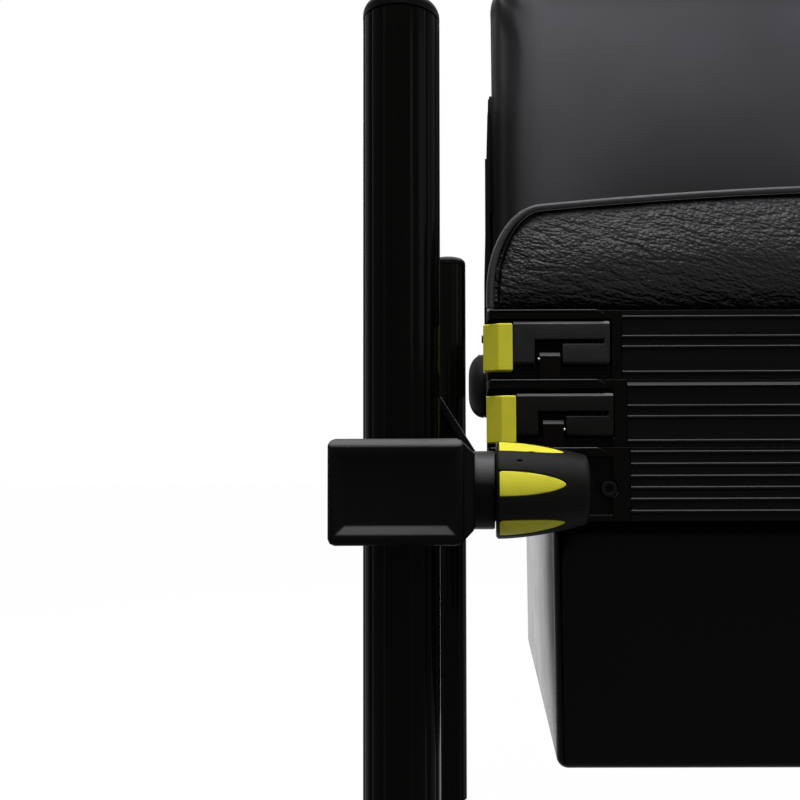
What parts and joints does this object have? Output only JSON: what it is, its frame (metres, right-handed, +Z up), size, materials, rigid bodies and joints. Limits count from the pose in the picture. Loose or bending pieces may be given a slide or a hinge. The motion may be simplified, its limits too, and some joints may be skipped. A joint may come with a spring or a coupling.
{
  "type": "fishing seat box",
  "caption": "Fishing seat box with a leatherette cushion, folding back pad, hinged tray, deep storage tub, sliding legs clamped by yellow-petalled knobs and quick-release latches.",
  "frame": {"origin": "on the floor under the middle of the box", "axes": "+Z up, the front with the latches faces -Y, +X to the right of someone facing the front"},
  "size_m": [0.6194, 0.573, 0.905],
  "materials": {
    "anodised": "gloss black anodised",
    "rail": "satin black anodised",
    "casting": "fine moulded black",
    "block": "fine moulded black",
    "tub": "soft gloss black",
    "soft_black": "soft-touch dark grey",
    "yellow": "bright yellow moulding",
    "cushion_leather": "grained black leatherette",
    "back_leather": "smooth dark grey leatherette",
    "back_shell": "fine moulded black",
    "board": "plain plywood",
    "steel": "brushed",
    "foot_rubber": "matt"
  },
  "bodies": {
    "frame": {"frame_front_rail": "rail", "frame_rear_rail": "rail", "frame_left_rail": "rail", "frame_right_rail": "rail", "storage_tub": "tub", "tray_hinge_pin": "steel", "frame_corner_front_left": "casting", "frame_corner_front_right": "casting", "frame_corner_rear_left": "casting", "frame_corner_rear_right": "casting", "leg_block_front_left": "block", "leg_block_front_right": "block", "leg_block_rear_left": "block", "leg_block_rear_right": "block"},
    "tray": {"tray_front_rail": "rail", "tray_body": "rail", "tray_corner_left": "casting", "tray_corner_right": "casting", "seat_hinge_pin": "steel"},
    "seat": {"seat_front_rail": "rail", "seat_shell": "rail", "seat_corner_left": "casting", "seat_corner_right": "casting", "seat_board": "board", "cushion": "cushion_leather", "recliner_disc_left": "block", "recliner_disc_right": "block"},
    "backrest": {"backrest_upright_left": "block", "backrest_upright_right": "block", "backrest_shell": "back_shell", "backrest_pad": "back_leather"},
    "latch_seat_left": {"latch_lever_seat_left": "soft_black", "latch_tab_seat_left": "yellow"},
    "latch_seat_right": {"latch_lever_seat_right": "soft_black", "latch_tab_seat_right": "yellow"},
    "latch_tray_left": {"latch_lever_tray_left": "soft_black", "latch_tab_tray_left": "yellow"},
    "latch_tray_right": {"latch_lever_tray_right": "soft_black", "latch_tab_tray_right": "yellow"},
    "leg_front_left": {"leg_tube_front_left": "anodised", "leg_cap_front_left": "block"},
    "foot_front_left": {"leg_foot_front_left": "foot_rubber"},
    "knob_front_left": {"leg_knob_front_left": "soft_black", "knob_insert_front_left": "yellow"},
    "leg_front_right": {"leg_tube_front_right": "anodised", "leg_cap_front_right": "block"},
    "foot_front_right": {"leg_foot_front_right": "foot_rubber"},
    "knob_front_right": {"leg_knob_front_right": "soft_black", "knob_insert_front_right": "yellow"},
    "leg_rear_left": {"leg_tube_rear_left": "anodised", "leg_cap_rear_left": "block"},
    "foot_rear_left": {"leg_foot_rear_left": "foot_rubber"},
    "knob_rear_left": {"leg_knob_rear_left": "soft_black", "knob_insert_rear_left": "yellow"},
    "leg_rear_right": {"leg_tube_rear_right": "anodised", "leg_cap_rear_right": "block"},
    "foot_rear_right": {"leg_foot_rear_right": "foot_rubber"},
    "knob_rear_right": {"leg_knob_rear_right": "soft_black", "knob_insert_rear_right": "yellow"}
  },
  "joints": [
    {"name": "tray_hinge", "type": "hinge", "parent": "frame", "child": "tray", "pos_m": [0, 0.215, 0.37815], "axis": [-1, 0, 0], "range_deg": [0, 60]},
    {"name": "seat_hinge", "type": "hinge", "parent": "tray", "child": "seat", "pos_m": [0, 0.215, 0.41275], "axis": [-1, 0, 0], "range_deg": [0, 60]},
    {"name": "backrest_fold", "type": "hinge", "parent": "seat", "child": "backrest", "pos_m": [0, 0.17, 0.4482], "axis": [1, 0, 0], "range_deg": [-12, 90]},
    {"name": "latch_seat_left_swing", "type": "hinge", "parent": "seat", "child": "latch_seat_left", "pos_m": [-0.1698, -0.206, 0.4309], "axis": [0, 0, 1], "range_deg": [0, 70]},
    {"name": "latch_seat_right_swing", "type": "hinge", "parent": "seat", "child": "latch_seat_right", "pos_m": [0.1698, -0.206, 0.4309], "axis": [0, 0, -1], "range_deg": [0, 70]},
    {"name": "latch_tray_left_swing", "type": "hinge", "parent": "tray", "child": "latch_tray_left", "pos_m": [-0.1682, -0.206, 0.3963], "axis": [0, 0, 1], "range_deg": [0, 70]},
    {"name": "latch_tray_right_swing", "type": "hinge", "parent": "tray", "child": "latch_tray_right", "pos_m": [0.1682, -0.206, 0.3963], "axis": [0, 0, -1], "range_deg": [0, 70]},
    {"name": "leg_front_left_slide", "type": "slide", "parent": "frame", "child": "leg_front_left", "axis": [0, 0, 1], "range_m": [-0.17, 0.2]},
    {"name": "foot_front_left_tilt", "type": "hinge", "parent": "leg_front_left", "child": "foot_front_left", "pos_m": [-0.2677, -0.2445, 0.016], "axis": [1, 0, 0], "range_deg": [-15, 15]},
    {"name": "knob_front_left_turn", "type": "hinge", "parent": "frame", "child": "knob_front_left", "pos_m": [-0.2677, -0.2445, 0.3574], "axis": [1, 0, 0], "range_deg": [0, 360]},
    {"name": "leg_front_right_slide", "type": "slide", "parent": "frame", "child": "leg_front_right", "axis": [0, 0, 1], "range_m": [-0.17, 0.2]},
    {"name": "foot_front_right_tilt", "type": "hinge", "parent": "leg_front_right", "child": "foot_front_right", "pos_m": [0.2677, -0.2445, 0.016], "axis": [1, 0, 0], "range_deg": [-15, 15]},
    {"name": "knob_front_right_turn", "type": "hinge", "parent": "frame", "child": "knob_front_right", "pos_m": [0.2677, -0.2445, 0.3574], "axis": [1, 0, 0], "range_deg": [0, 360]},
    {"name": "leg_rear_left_slide", "type": "slide", "parent": "frame", "child": "leg_rear_left", "axis": [0, 0, 1], "range_m": [-0.17, 0.2]},
    {"name": "foot_rear_left_tilt", "type": "hinge", "parent": "leg_rear_left", "child": "foot_rear_left", "pos_m": [-0.2677, 0.2445, 0.016], "axis": [1, 0, 0], "range_deg": [-15, 15]},
    {"name": "knob_rear_left_turn", "type": "hinge", "parent": "frame", "child": "knob_rear_left", "pos_m": [-0.2677, 0.2445, 0.3574], "axis": [1, 0, 0], "range_deg": [0, 360]},
    {"name": "leg_rear_right_slide", "type": "slide", "parent": "frame", "child": "leg_rear_right", "axis": [0, 0, 1], "range_m": [-0.17, 0.2]},
    {"name": "foot_rear_right_tilt", "type": "hinge", "parent": "leg_rear_right", "child": "foot_rear_right", "pos_m": [0.2677, 0.2445, 0.016], "axis": [1, 0, 0], "range_deg": [-15, 15]},
    {"name": "knob_rear_right_turn", "type": "hinge", "parent": "frame", "child": "knob_rear_right", "pos_m": [0.2677, 0.2445, 0.3574], "axis": [1, 0, 0], "range_deg": [0, 360]}
  ]
}
